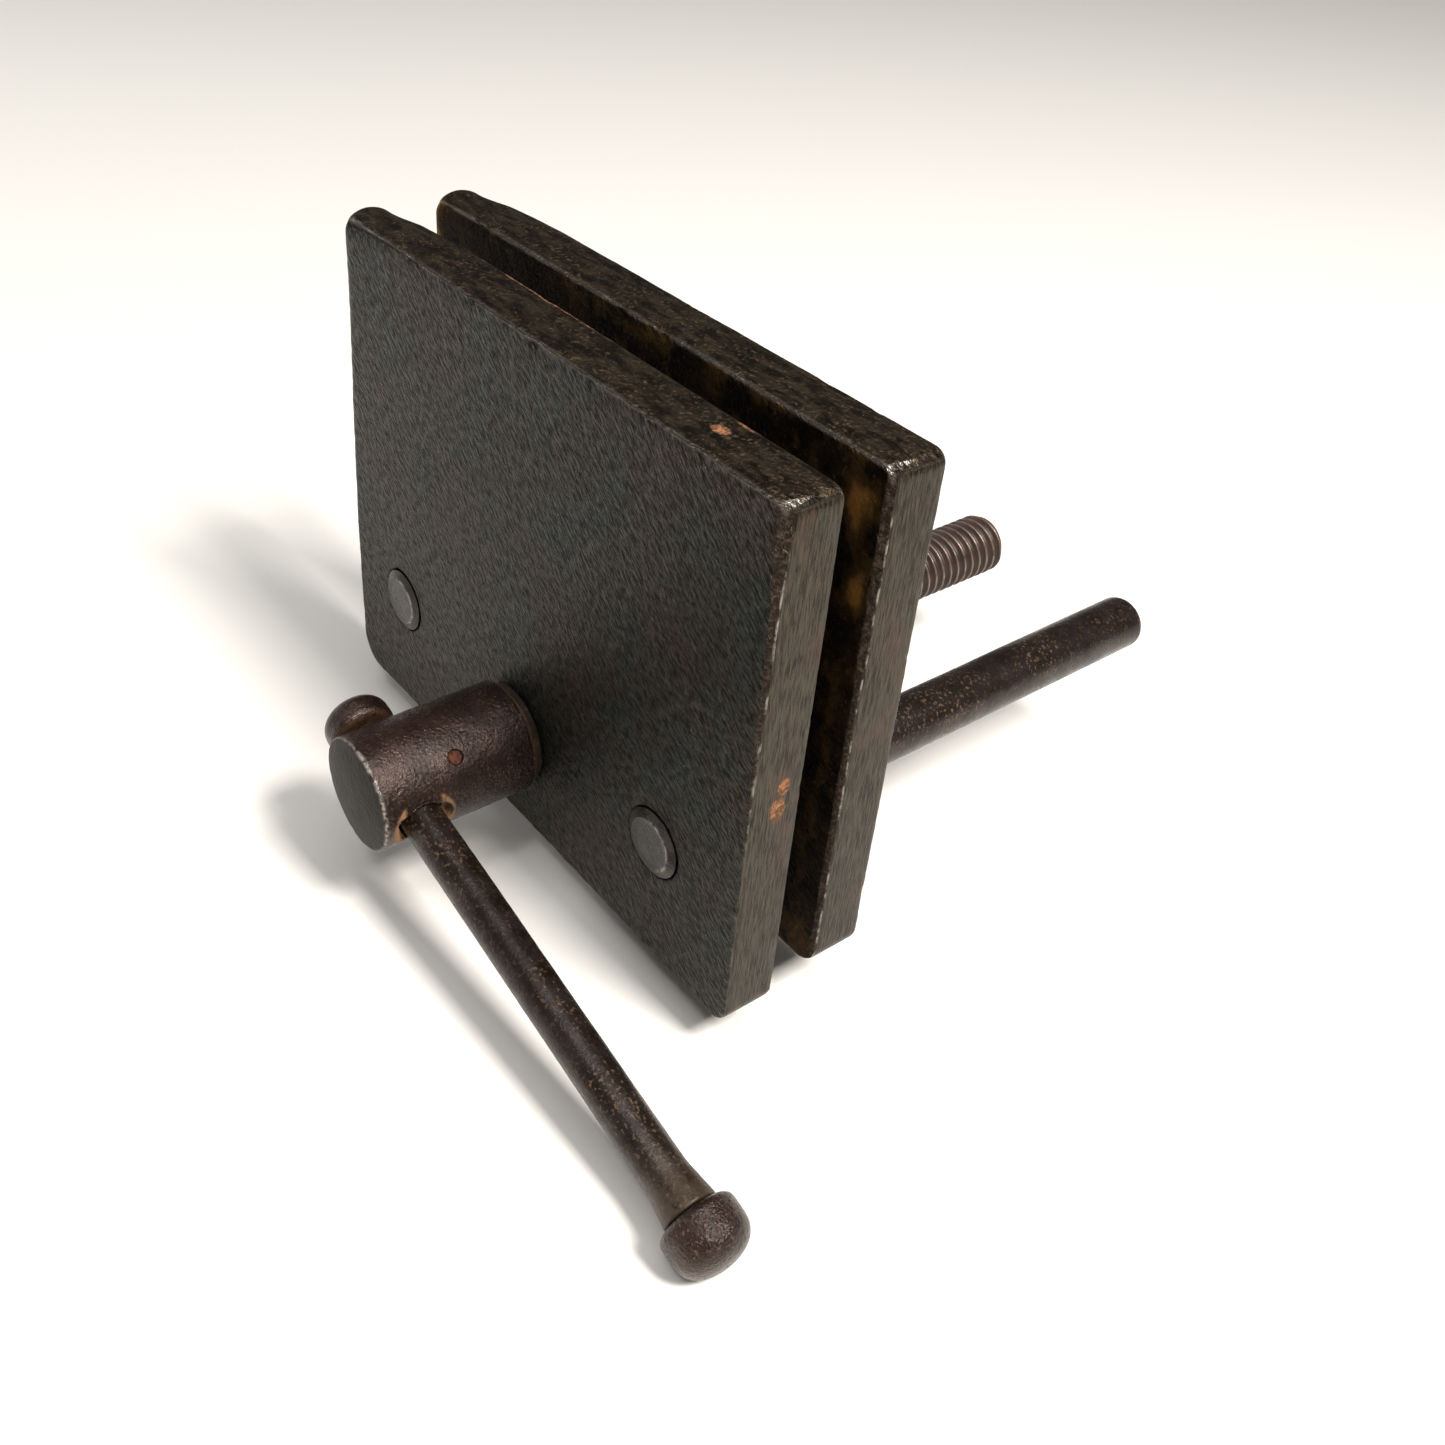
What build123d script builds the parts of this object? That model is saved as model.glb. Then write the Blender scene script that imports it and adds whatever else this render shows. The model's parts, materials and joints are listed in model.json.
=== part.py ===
"""Plate-jaw woodworking vise: two steel jaw plates, two guide rods, a lead screw and a tommy bar.

Frame: +X along the jaws, +Y into the bench, +Z up. The handle side faces -Y. The origin is the
centre of the jaw plates' full outline, on the rear jaw's bench face. Lengths are millimetres.
"""

from build123d import *
import math
import os

# Jaw plates
JAW_WIDTH = 150.0
FRONT_JAW_HEIGHT = 120.0
REAR_JAW_HEIGHT = 116.5
JAW_THICKNESS = 13.0
REST_GAP = 9.6
CORNER_TOP_LEFT = 5.0
CORNER_TOP_RIGHT = 3.0
CORNER_BOTTOM_LEFT = 8.0
CORNER_BOTTOM_RIGHT = 4.5
JAW_EDGE_RADIUS = 1.2

# Guide rods, riveted in the front jaw and sliding in the rear jaw
AXES_OFFSET = -1.5
ROD_SPACING = 100.8
ROD_Z = -30.0
ROD_DIAMETER = 13.0
ROD_REACH = 109.5
ROD_END_RADIUS = 2.2
RIVET_DIAMETER = 16.0
RIVET_DEPTH = 2.6
RIVET_PROUD = 0.8
RIVET_TOP_DIAMETER = 11.6

# Lead screw
SCREW_Z = -36.0
THREAD_DIAMETER = 16.0
SCREW_REACH = 115.0
SCREW_END_RADIUS = 2.0
JOURNAL_DIAMETER = 13.0
SPIGOT_LENGTH = 21.0
COLLAR_DIAMETER = 25.0
COLLAR_THICKNESS = 5.0
COLLAR_PIN_DIAMETER = 2.5
WASHER_DIAMETER = 23.0
WASHER_THICKNESS = 2.0

# Screw head
HEAD_DIAMETER = 26.0
HEAD_LENGTH = 37.2
HEAD_DOME = 1.6
HEAD_BACK_CHAMFER = 0.7
HEAD_RIM_RADIUS = 0.9
SCOOP_DEPTH = 2.6
SCOOP_OFFSET = 2.4
SCOOP_MOUTH_RADIUS = 4.6
SCOOP_FLOOR_RADIUS = 3.0
HEAD_PIN_DIAMETER = 3.2
PIN_END_RECESS = 0.1
HEAD_PIN_FROM_JAW = 20.6
HEAD_PIN_ANGLE = 42.0

# Tommy bar and its knobs
BAR_DIAMETER = 9.5
BAR_FROM_JAW = 30.0
BAR_DROP_ANGLE = 12.9
BAR_LOW_END = 108.2
BAR_FLARE_LENGTH = 5.0
BAR_FLARE_DIAMETER = 11.6
TENON_DIAMETER = 6.0
TENON_LENGTH = 5.5
LOWER_KNOB_DIAMETER = 16.0
LOWER_KNOB_LENGTH = 10.6
UPPER_KNOB_DIAMETER = 15.4
UPPER_KNOB_LENGTH = 8.2
KNOB_SHOULDER_RADIUS = 1.8
KNOB_SIDE_SHARE = 0.5
KNOB_CORNER_SHARE = 0.68

# Holes for four countersunk bench screws
BENCH_HOLE_DIAMETER = 6.5
BENCH_SINK_DIAMETER = 12.5
BENCH_HOLE_SPACING_X = 110.0
BENCH_HOLE_SPACING_Z = 40.0
BENCH_HOLES_Z = 22.0
HOLE_MOUTH_CHAMFER = 0.8

# Clearances
RUNNING_CLEARANCE = 0.05
FACE_CLEARANCE = 0.1
COLLAR_END_PLAY = 0.2
COLLAR_SIDE_CLEARANCE = 0.6
BAR_CLEARANCE = 0.2
STOP_GAP = 0.2

# Places worked out from the sizes above
JAW_TOP = FRONT_JAW_HEIGHT / 2
FRONT_JAW_BACK_Y = -JAW_THICKNESS - REST_GAP
FRONT_FACE_Y = FRONT_JAW_BACK_Y - JAW_THICKNESS
ROD_XS = [AXES_OFFSET - ROD_SPACING / 2, AXES_OFFSET + ROD_SPACING / 2]
HEAD_RADIUS = HEAD_DIAMETER / 2
WASHER_FRONT_Y = FRONT_FACE_Y - FACE_CLEARANCE - WASHER_THICKNESS
HEAD_RIM_Y = WASHER_FRONT_Y - HEAD_LENGTH
COLLAR_FRONT_Y = FRONT_JAW_BACK_Y - COLLAR_THICKNESS - COLLAR_END_PLAY
COLLAR_BACK_Y = COLLAR_FRONT_Y + COLLAR_THICKNESS
COUNTERBORE_DEPTH = COLLAR_THICKNESS + 2 * COLLAR_END_PLAY
COUNTERBORE_RADIUS = COLLAR_DIAMETER / 2 + COLLAR_SIDE_CLEARANCE
BAR_Y = FRONT_FACE_Y - BAR_FROM_JAW
BAR_BORE_RADIUS = BAR_DIAMETER / 2 + BAR_CLEARANCE
BAR_HIGH_END = -HEAD_RADIUS - STOP_GAP

RIVET_ANGLE = 2 * math.degrees(math.atan((RIVET_DIAMETER - ROD_DIAMETER) / 2 / RIVET_DEPTH))

SCREW_AXIS = Axis((AXES_OFFSET, 0, SCREW_Z), (0, 1, 0))
# Radial section of the screw: local x runs along +Y, local y points up from the screw's axis.
SCREW_SECTION = Plane(origin=(AXES_OFFSET, 0, SCREW_Z), x_dir=(0, 1, 0), z_dir=(1, 0, 0))
# Radial section of the bar: local x runs down the bar, from its raised end to its low end.
BAR_DIRECTION = Vector(1, 0, 0).rotate(Axis.Y, BAR_DROP_ANGLE)
BAR_SECTION = Plane(
    origin=(AXES_OFFSET, BAR_Y, SCREW_Z),
    x_dir=(BAR_DIRECTION.X, 0, BAR_DIRECTION.Z),
    z_dir=(0, -1, 0),
)
BAR_AXIS = Axis(BAR_SECTION.origin, BAR_SECTION.x_dir)
BAR_CROSS_SECTION = Plane(origin=BAR_SECTION.origin, z_dir=BAR_SECTION.x_dir)
HEAD_PIN_PLANE = Plane(
    origin=(AXES_OFFSET, FRONT_FACE_Y - HEAD_PIN_FROM_JAW, SCREW_Z),
    z_dir=(math.cos(math.radians(HEAD_PIN_ANGLE)), 0, math.sin(math.radians(HEAD_PIN_ANGLE))),
)
COLLAR_PIN_PLANE = Plane.XY.offset(SCREW_Z).shift_origin(
    (AXES_OFFSET, (COLLAR_FRONT_Y + COLLAR_BACK_Y) / 2, SCREW_Z)
)


def jaw_outline(sketch, height):
    """Jaw plate's outline, hung from the common top edge, with its four unequal worn corners."""
    with Locations((0, JAW_TOP)):
        Rectangle(JAW_WIDTH, height, align=(Align.CENTER, Align.MAX))
    left, right = -JAW_WIDTH / 2, JAW_WIDTH / 2
    top, bottom = JAW_TOP, JAW_TOP - height
    corners = [
        (left, top, CORNER_TOP_LEFT),
        (right, top, CORNER_TOP_RIGHT),
        (left, bottom, CORNER_BOTTOM_LEFT),
        (right, bottom, CORNER_BOTTOM_RIGHT),
    ]
    for x, z, radius in corners:
        fillet(sketch.vertices().sort_by_distance((x, z, 0))[0], radius)


def facing_bench(x, y, z):
    """Place on a face whose outward side looks along +Y."""
    return Location((x, y, z), (-90, 0, 0))


def facing_handle(x, y, z):
    """Place on a face whose outward side looks along -Y."""
    return Location((x, y, z), (90, 0, 0))


def ring_section(inner_radius, outer_radius, start, length):
    """Half section of a turned ring, in a plane whose local x is the ring's axis."""
    with Locations((start, inner_radius)):
        Rectangle(length, outer_radius - inner_radius, align=(Align.MIN, Align.MIN))


def rod_section():
    """Half section of a guide rod, from its peened, countersunk head to its rounded free end."""
    radius = ROD_DIAMETER / 2
    with BuildLine() as outline:
        Polyline(
            (FRONT_FACE_Y - RIVET_PROUD, 0),
            (FRONT_FACE_Y - RIVET_PROUD, RIVET_TOP_DIAMETER / 2),
            (FRONT_FACE_Y, RIVET_DIAMETER / 2),
            (FRONT_FACE_Y + RIVET_DEPTH, radius),
            (ROD_REACH - ROD_END_RADIUS, radius),
        )
        RadiusArc(
            (ROD_REACH - ROD_END_RADIUS, radius),
            (ROD_REACH, radius - ROD_END_RADIUS),
            ROD_END_RADIUS,
        )
        Polyline((ROD_REACH, radius - ROD_END_RADIUS), (ROD_REACH, 0), (FRONT_FACE_Y - RIVET_PROUD, 0))
    make_face(outline.edges())


def knob_section(start, side, diameter, length):
    """Half section of a mushroom knob with a blind socket in its flat shoulder, which is at start.

    The dome is a corner arc and a wider crown arc that meet without a step.
    """
    radius = diameter / 2
    waist = start + side * length * KNOB_SIDE_SHARE
    crown = start + side * length
    dome = abs(crown - waist)
    corner = dome * KNOB_CORNER_SHARE
    crown_radius = (dome**2 + (radius - corner) ** 2 - corner**2) / (2 * (dome - corner))
    crown_centre = Vector(crown - side * crown_radius, 0)
    corner_centre = Vector(waist, radius - corner)
    meeting = crown_centre + (corner_centre - crown_centre).normalized() * crown_radius
    with BuildLine() as outline:
        Polyline(
            (crown, 0),
            (start + side * TENON_LENGTH, 0),
            (start + side * TENON_LENGTH, TENON_DIAMETER / 2),
            (start, TENON_DIAMETER / 2),
            (start, radius),
            (waist, radius),
        )
        TangentArc((waist, radius), meeting, tangent=(side, 0))
        TangentArc((crown, 0), meeting, tangent=(0, 1))
    knob_face = make_face(outline.edges())
    rim = knob_face.vertices().sort_by_distance((start, radius, 0))[0]
    fillet(rim, KNOB_SHOULDER_RADIUS)


os.makedirs("parts", exist_ok=True)

# Rear jaw: fixed plate. The guide rods slide in it and the lead screw is threaded through it.
with BuildPart() as rear_jaw:
    with BuildSketch(Plane.XZ) as rear_outline:
        jaw_outline(rear_outline, REAR_JAW_HEIGHT)
    extrude(amount=JAW_THICKNESS)
    fillet(rear_jaw.faces().filter_by(Axis.Y).edges(), JAW_EDGE_RADIUS)
    for x in ROD_XS:
        with Locations(facing_bench(x, 0, ROD_Z)):
            CounterSinkHole(
                ROD_DIAMETER / 2 + RUNNING_CLEARANCE,
                ROD_DIAMETER / 2 + HOLE_MOUTH_CHAMFER,
                counter_sink_angle=90,
            )
    with Locations(facing_bench(AXES_OFFSET, 0, SCREW_Z)):
        CounterSinkHole(
            THREAD_DIAMETER / 2 + RUNNING_CLEARANCE,
            THREAD_DIAMETER / 2 + HOLE_MOUTH_CHAMFER,
            counter_sink_angle=90,
        )
    with Locations(facing_handle(0, -JAW_THICKNESS, BENCH_HOLES_Z)):
        with GridLocations(BENCH_HOLE_SPACING_X, BENCH_HOLE_SPACING_Z, 2, 2):
            CounterSinkHole(BENCH_HOLE_DIAMETER / 2, BENCH_SINK_DIAMETER / 2, counter_sink_angle=90)
rear_jaw.part.label = "rear_jaw"
export_step(rear_jaw.part, "parts/rear_jaw.step")

# Front jaw: moving plate, with a counterbore behind it for the keeper collar.
with BuildPart() as front_jaw:
    with BuildSketch(Plane.XZ.offset(-FRONT_JAW_BACK_Y)) as front_outline:
        jaw_outline(front_outline, FRONT_JAW_HEIGHT)
    extrude(amount=JAW_THICKNESS)
    fillet(front_jaw.faces().filter_by(Axis.Y).edges(), JAW_EDGE_RADIUS)
    for x in ROD_XS:
        with Locations(facing_handle(x, FRONT_FACE_Y, ROD_Z)):
            CounterSinkHole(ROD_DIAMETER / 2, RIVET_DIAMETER / 2, counter_sink_angle=RIVET_ANGLE)
    with Locations(facing_bench(AXES_OFFSET, FRONT_JAW_BACK_Y, SCREW_Z)):
        CounterBoreHole(
            JOURNAL_DIAMETER / 2 + RUNNING_CLEARANCE,
            COUNTERBORE_RADIUS,
            COUNTERBORE_DEPTH,
        )
front_jaw.part.label = "front_jaw"
export_step(front_jaw.part, "parts/front_jaw.step")

# Guide rods
for side, x in zip(["left", "right"], ROD_XS):
    with BuildPart() as guide_rod:
        section = Plane(origin=(x, 0, ROD_Z), x_dir=(0, 1, 0), z_dir=(1, 0, 0))
        with BuildSketch(section):
            rod_section()
        revolve(axis=Axis((x, 0, ROD_Z), (0, 1, 0)))
    guide_rod.part.label = f"guide_rod_{side}"
    export_step(guide_rod.part, f"parts/guide_rod_{side}.step")

# Lead screw: plain journal through the front jaw, then the thread, drawn as its outer envelope.
with BuildPart() as lead_screw:
    with BuildSketch(SCREW_SECTION):
        spigot_y = WASHER_FRONT_Y - SPIGOT_LENGTH
        ring_section(0, JOURNAL_DIAMETER / 2, spigot_y, COLLAR_BACK_Y - spigot_y)
        ring_section(0, THREAD_DIAMETER / 2, COLLAR_BACK_Y, SCREW_REACH - COLLAR_BACK_Y)
    revolve(axis=SCREW_AXIS)
    fillet(lead_screw.faces().sort_by(Axis.Y)[-1].edges(), SCREW_END_RADIUS)
    with BuildSketch(HEAD_PIN_PLANE):
        Circle(HEAD_PIN_DIAMETER / 2)
    extrude(amount=HEAD_RADIUS, both=True, mode=Mode.SUBTRACT)
    with BuildSketch(COLLAR_PIN_PLANE):
        Circle(COLLAR_PIN_DIAMETER / 2)
    extrude(amount=COLLAR_DIAMETER / 2, both=True, mode=Mode.SUBTRACT)
lead_screw.part.label = "lead_screw"
export_step(lead_screw.part, "parts/lead_screw.step")

# Screw head: round hub with a domed end, a socket for the screw and a cross bore for the bar. The
# bore's mouths are scooped out along the hub.
with BuildPart() as screw_head:
    with BuildSketch(SCREW_SECTION):
        with BuildLine():
            Polyline(
                (HEAD_RIM_Y, HEAD_RADIUS),
                (WASHER_FRONT_Y, HEAD_RADIUS),
                (WASHER_FRONT_Y, 0),
                (HEAD_RIM_Y - HEAD_DOME, 0),
            )
            dome_start = (HEAD_RIM_Y - HEAD_DOME, 0)
            dome_middle = (HEAD_RIM_Y - HEAD_DOME * 3 / 4, HEAD_RADIUS / 2)
            ThreePointArc(dome_start, dome_middle, (HEAD_RIM_Y, HEAD_RADIUS))
        head_face = make_face()
        fillet(
            head_face.vertices().sort_by_distance((HEAD_RIM_Y, HEAD_RADIUS, 0))[0],
            HEAD_RIM_RADIUS,
        )
    revolve(axis=SCREW_AXIS)
    chamfer(screw_head.faces().sort_by(Axis.Y)[-1].edges(), HEAD_BACK_CHAMFER)
    with BuildSketch(SCREW_SECTION):
        ring_section(0, JOURNAL_DIAMETER / 2, WASHER_FRONT_Y - SPIGOT_LENGTH, SPIGOT_LENGTH)
    revolve(axis=SCREW_AXIS, mode=Mode.SUBTRACT)
    with BuildSketch(BAR_CROSS_SECTION):
        Circle(BAR_BORE_RADIUS)
    extrude(amount=HEAD_DIAMETER, both=True, mode=Mode.SUBTRACT)
    for offset in (-SCOOP_OFFSET, SCOOP_OFFSET):
        scoop_section = Plane(
            origin=BAR_SECTION.origin + Vector(0, offset, 0),
            x_dir=BAR_SECTION.x_dir,
            z_dir=BAR_SECTION.z_dir,
        )
        with BuildSketch(scoop_section):
            for side in (-1, 1):
                with BuildLine():
                    Polyline(
                        (side * (HEAD_RADIUS - SCOOP_DEPTH), 0),
                        (side * (HEAD_RADIUS - SCOOP_DEPTH), SCOOP_FLOOR_RADIUS),
                        (side * HEAD_RADIUS, SCOOP_MOUTH_RADIUS),
                        (side * HEAD_RADIUS, 0),
                        close=True,
                    )
                make_face()
        revolve(axis=Axis(scoop_section.origin, scoop_section.x_dir), mode=Mode.SUBTRACT)
    with BuildSketch(HEAD_PIN_PLANE):
        Circle(HEAD_PIN_DIAMETER / 2)
    extrude(amount=HEAD_DIAMETER, both=True, mode=Mode.SUBTRACT)
screw_head.part.label = "screw_head"
export_step(screw_head.part, "parts/screw_head.step")

# Pin across the head and the screw's spigot
with BuildPart() as head_pin:
    with BuildSketch(HEAD_PIN_PLANE):
        Circle(HEAD_PIN_DIAMETER / 2)
    extrude(amount=HEAD_RADIUS - PIN_END_RECESS, both=True)
head_pin.part.label = "head_pin"
export_step(head_pin.part, "parts/head_pin.step")

# Thrust washer between the head and the front jaw
with BuildPart() as thrust_washer:
    with BuildSketch(SCREW_SECTION):
        ring_section(JOURNAL_DIAMETER / 2, WASHER_DIAMETER / 2, WASHER_FRONT_Y, WASHER_THICKNESS)
    revolve(axis=SCREW_AXIS)
thrust_washer.part.label = "thrust_washer"
export_step(thrust_washer.part, "parts/thrust_washer.step")

# Keeper collar behind the front jaw, and the pin that holds it on the screw
with BuildPart() as keeper_collar:
    with BuildSketch(SCREW_SECTION):
        ring_section(JOURNAL_DIAMETER / 2, COLLAR_DIAMETER / 2, COLLAR_FRONT_Y, COLLAR_THICKNESS)
    revolve(axis=SCREW_AXIS)
    with BuildSketch(COLLAR_PIN_PLANE):
        Circle(COLLAR_PIN_DIAMETER / 2)
    extrude(amount=COLLAR_DIAMETER, both=True, mode=Mode.SUBTRACT)
keeper_collar.part.label = "keeper_collar"
export_step(keeper_collar.part, "parts/keeper_collar.step")

with BuildPart() as collar_pin:
    with BuildSketch(COLLAR_PIN_PLANE):
        Circle(COLLAR_PIN_DIAMETER / 2)
    extrude(amount=COLLAR_DIAMETER / 2 - PIN_END_RECESS, both=True)
collar_pin.part.label = "collar_pin"
export_step(collar_pin.part, "parts/collar_pin.step")

# Tommy bar: round bar that flares into the lower knob, with a tenon at each end
with BuildPart() as tommy_bar:
    radius = BAR_DIAMETER / 2
    flare_start = BAR_LOW_END - BAR_FLARE_LENGTH
    with BuildSketch(BAR_SECTION):
        with BuildLine():
            Polyline(
                (flare_start, radius),
                (BAR_HIGH_END, radius),
                (BAR_HIGH_END, TENON_DIAMETER / 2),
                (BAR_HIGH_END - TENON_LENGTH, TENON_DIAMETER / 2),
                (BAR_HIGH_END - TENON_LENGTH, 0),
                (BAR_LOW_END + TENON_LENGTH, 0),
                (BAR_LOW_END + TENON_LENGTH, TENON_DIAMETER / 2),
                (BAR_LOW_END, TENON_DIAMETER / 2),
                (BAR_LOW_END, BAR_FLARE_DIAMETER / 2),
            )
            TangentArc((flare_start, radius), (BAR_LOW_END, BAR_FLARE_DIAMETER / 2), tangent=(1, 0))
        make_face()
    revolve(axis=BAR_AXIS)
tommy_bar.part.label = "tommy_bar"
export_step(tommy_bar.part, "parts/tommy_bar.step")

# Knobs, each with a blind socket for the bar's tenon
knobs = [
    ("upper", BAR_HIGH_END, -1, UPPER_KNOB_DIAMETER, UPPER_KNOB_LENGTH),
    ("lower", BAR_LOW_END, 1, LOWER_KNOB_DIAMETER, LOWER_KNOB_LENGTH),
]
for place, start, side, diameter, length in knobs:
    with BuildPart() as bar_knob:
        with BuildSketch(BAR_SECTION):
            knob_section(start, side, diameter, length)
        revolve(axis=BAR_AXIS)
    bar_knob.part.label = f"bar_knob_{place}"
    export_step(bar_knob.part, f"parts/bar_knob_{place}.step")
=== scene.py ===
"""The looks of a plate-jaw bench vise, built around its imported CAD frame. Lengths are metres."""

import json
import math

import bpy
import numpy as np
from mathutils import Matrix, Vector


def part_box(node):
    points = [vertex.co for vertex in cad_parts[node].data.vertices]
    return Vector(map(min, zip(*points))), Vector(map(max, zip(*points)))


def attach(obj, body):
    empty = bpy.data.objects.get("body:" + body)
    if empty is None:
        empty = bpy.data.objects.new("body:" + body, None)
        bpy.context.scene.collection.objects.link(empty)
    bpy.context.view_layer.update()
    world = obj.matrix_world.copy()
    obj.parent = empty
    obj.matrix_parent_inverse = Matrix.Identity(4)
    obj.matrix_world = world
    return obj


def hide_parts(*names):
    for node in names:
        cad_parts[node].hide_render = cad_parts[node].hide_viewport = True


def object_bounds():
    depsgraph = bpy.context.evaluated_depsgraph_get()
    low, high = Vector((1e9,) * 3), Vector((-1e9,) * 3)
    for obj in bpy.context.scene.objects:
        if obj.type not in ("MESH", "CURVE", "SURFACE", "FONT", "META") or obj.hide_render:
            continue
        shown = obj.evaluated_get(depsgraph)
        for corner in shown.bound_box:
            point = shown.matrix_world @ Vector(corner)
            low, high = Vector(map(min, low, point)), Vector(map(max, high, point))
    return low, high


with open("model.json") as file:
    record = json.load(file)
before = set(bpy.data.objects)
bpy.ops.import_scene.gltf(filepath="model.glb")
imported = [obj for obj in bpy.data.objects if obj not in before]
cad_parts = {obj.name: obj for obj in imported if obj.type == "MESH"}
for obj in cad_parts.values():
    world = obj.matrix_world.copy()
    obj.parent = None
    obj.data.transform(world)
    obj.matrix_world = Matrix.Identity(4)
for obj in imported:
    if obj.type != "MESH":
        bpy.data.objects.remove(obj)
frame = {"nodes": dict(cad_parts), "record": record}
cad_box = [list(corner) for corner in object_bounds()]

MM = 0.001


# ---------------------------------------------------------------- places, from the frame

def centre_of(node):
    low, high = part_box(node)
    return (Vector(low) + Vector(high)) / 2


JOINTS = {joint["name"]: joint for joint in frame["record"]["behaviour"]["joints"]}
SCREW_CENTRE = centre_of("lead_screw")
BAR_UP = Vector(JOINTS["bar_slide"]["axis"]).normalized()
BAR_DOWN = -BAR_UP
TURN_PER_METRE = 1 / frame["record"]["behaviour"]["couplings"][0]["ratio"]
PITCH = 2 * math.pi / TURN_PER_METRE
FRONT_JAW_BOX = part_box("front_jaw")
FRONT_FACE_Y = FRONT_JAW_BOX[0][1]
HEAD_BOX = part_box("screw_head")
BAR_FROM_JAW = 30 * MM
BAR_ORIGIN = (SCREW_CENTRE.x, FRONT_FACE_Y - BAR_FROM_JAW, SCREW_CENTRE.z)


# ---------------------------------------------------------------- noise and meshes

def lattice_values(cells, seed):
    """A repeatable value from -1 to 1 for each whole-number lattice point."""
    mixed = cells[..., 0] * 374761393 + cells[..., 1] * 668265263 + cells[..., 2] * 2147483647
    mixed = (mixed + seed * 1274126177) & 0xFFFFFFFF
    mixed = ((mixed ^ (mixed >> 13)) * 1103515245) & 0xFFFFFFFF
    mixed = mixed ^ (mixed >> 16)
    return (mixed & 0xFFFF) / 32767.5 - 1


def smooth_noise(points, size, seed=0):
    """Value noise from about -1 to 1 at points, with bumps of the given size in metres."""
    scaled = np.asarray(points) / size
    base = np.floor(scaled).astype(np.int64)
    part = scaled - base
    part = part * part * part * (part * (part * 6 - 15) + 10)
    total = 0
    for corner in np.ndindex(2, 2, 2):
        weight = 1
        for axis in range(3):
            weight = weight * (part[:, axis] if corner[axis] else 1 - part[:, axis])
        total = total + weight * lattice_values(base + np.array(corner), seed)
    return total


def step(values, low, high):
    """0 below low, 1 above high, smooth between. Falls instead where low is the larger."""
    t = np.clip((values - low) / (high - low), 0, 1)
    return t * t * (3 - 2 * t)


def layered_noise(points, size, seed=0, layers=3):
    """Noise with bumps of the given size and finer ones on them."""
    total, strength, reach = 0, 1, 0
    for layer in range(layers):
        total = total + strength * smooth_noise(points, size / 2**layer, seed + 17 * layer)
        reach += strength
        strength *= 0.5
    return total / reach


def coordinates(mesh):
    flat = np.empty(len(mesh.vertices) * 3)
    mesh.vertices.foreach_get("co", flat)
    return flat.reshape(-1, 3)


def normals(mesh):
    flat = np.empty(len(mesh.vertices) * 3)
    mesh.vertices.foreach_get("normal", flat)
    return flat.reshape(-1, 3)


def move_to(mesh, points):
    mesh.vertices.foreach_set("co", np.ascontiguousarray(points).ravel())
    mesh.update()


def add_value(mesh, name, values):
    """A value per vertex that the materials can read."""
    layer = mesh.attributes.new(name, "FLOAT", "POINT")
    layer.data.foreach_set("value", np.ascontiguousarray(values, dtype=np.float32))


def show(name, mesh, body, material, slot, *replaced):
    """Makes a piece from a mesh, dresses it and ties it to its CAD body and nodes."""
    piece = bpy.data.objects.new(name, mesh)
    bpy.context.scene.collection.objects.link(piece)
    mesh.materials.clear()
    mesh.materials.append(material)
    mesh.polygons.foreach_set("use_smooth", np.ones(len(mesh.polygons), dtype=bool))
    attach(piece, body)
    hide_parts(*replaced)
    return piece


def rounded_outline(corners, step):
    """Points along a half section. Each corner is (along, radius, rounding)."""
    points = []
    for i, (along, radius, rounding) in enumerate(corners):
        here = np.array((along, radius))
        if rounding == 0 or i in (0, len(corners) - 1):
            points.append(here)
            continue
        before = np.array(corners[i - 1][:2]) - here
        after = np.array(corners[i + 1][:2]) - here
        before /= np.linalg.norm(before)
        after /= np.linalg.norm(after)
        half = math.acos(np.clip(before @ after, -1, 1)) / 2
        reach = rounding / math.tan(half)
        start, end = here + before * reach, here + after * reach
        middle = here + (before + after) / np.linalg.norm(before + after) * rounding / math.sin(half)
        turns = max(4, int(rounding * (math.pi - 2 * half) / step) + 1)
        for k in range(turns + 1):
            chord = start + (end - start) * k / turns - middle
            points.append(middle + chord / np.linalg.norm(chord) * rounding)
    dense = [points[0]]
    for a, b in zip(points, points[1:]):
        pieces = max(1, math.ceil(np.linalg.norm(b - a) / step))
        dense += [a + (b - a) * k / pieces for k in range(1, pieces + 1)]
    return np.array(dense)


def closed_tube(name, vertices, segments, turned_round=False):
    """Mesh of a tube with fans on its ends.

    vertices holds ring after ring of the same number of segments, then the two end points. turned_round
    is for rings that run the other way about the axis.
    """
    first, last = len(vertices) - 2, len(vertices) - 1
    rings = first // segments
    ring_number, spoke = np.meshgrid(np.arange(rings - 1), np.arange(segments), indexing="ij")
    following = (spoke + 1) % segments
    corners = [
        ring_number * segments + spoke,
        ring_number * segments + following,
        (ring_number + 1) * segments + following,
        (ring_number + 1) * segments + spoke,
    ]
    top = (rings - 1) * segments
    start_fan = [(first, (k + 1) % segments, k) for k in range(segments)]
    end_fan = [(last, top + k, top + (k + 1) % segments) for k in range(segments)]
    if turned_round:
        corners = [corners[k] for k in (0, 3, 2, 1)]
        start_fan = [(a, c, b) for a, b, c in start_fan]
        end_fan = [(a, c, b) for a, b, c in end_fan]
    quads = np.stack(corners, axis=-1).reshape(-1, 4)
    mesh = bpy.data.meshes.new(name)
    mesh.from_pydata(vertices.tolist(), [], quads.tolist() + start_fan + end_fan)
    mesh.update()
    return mesh


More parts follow.
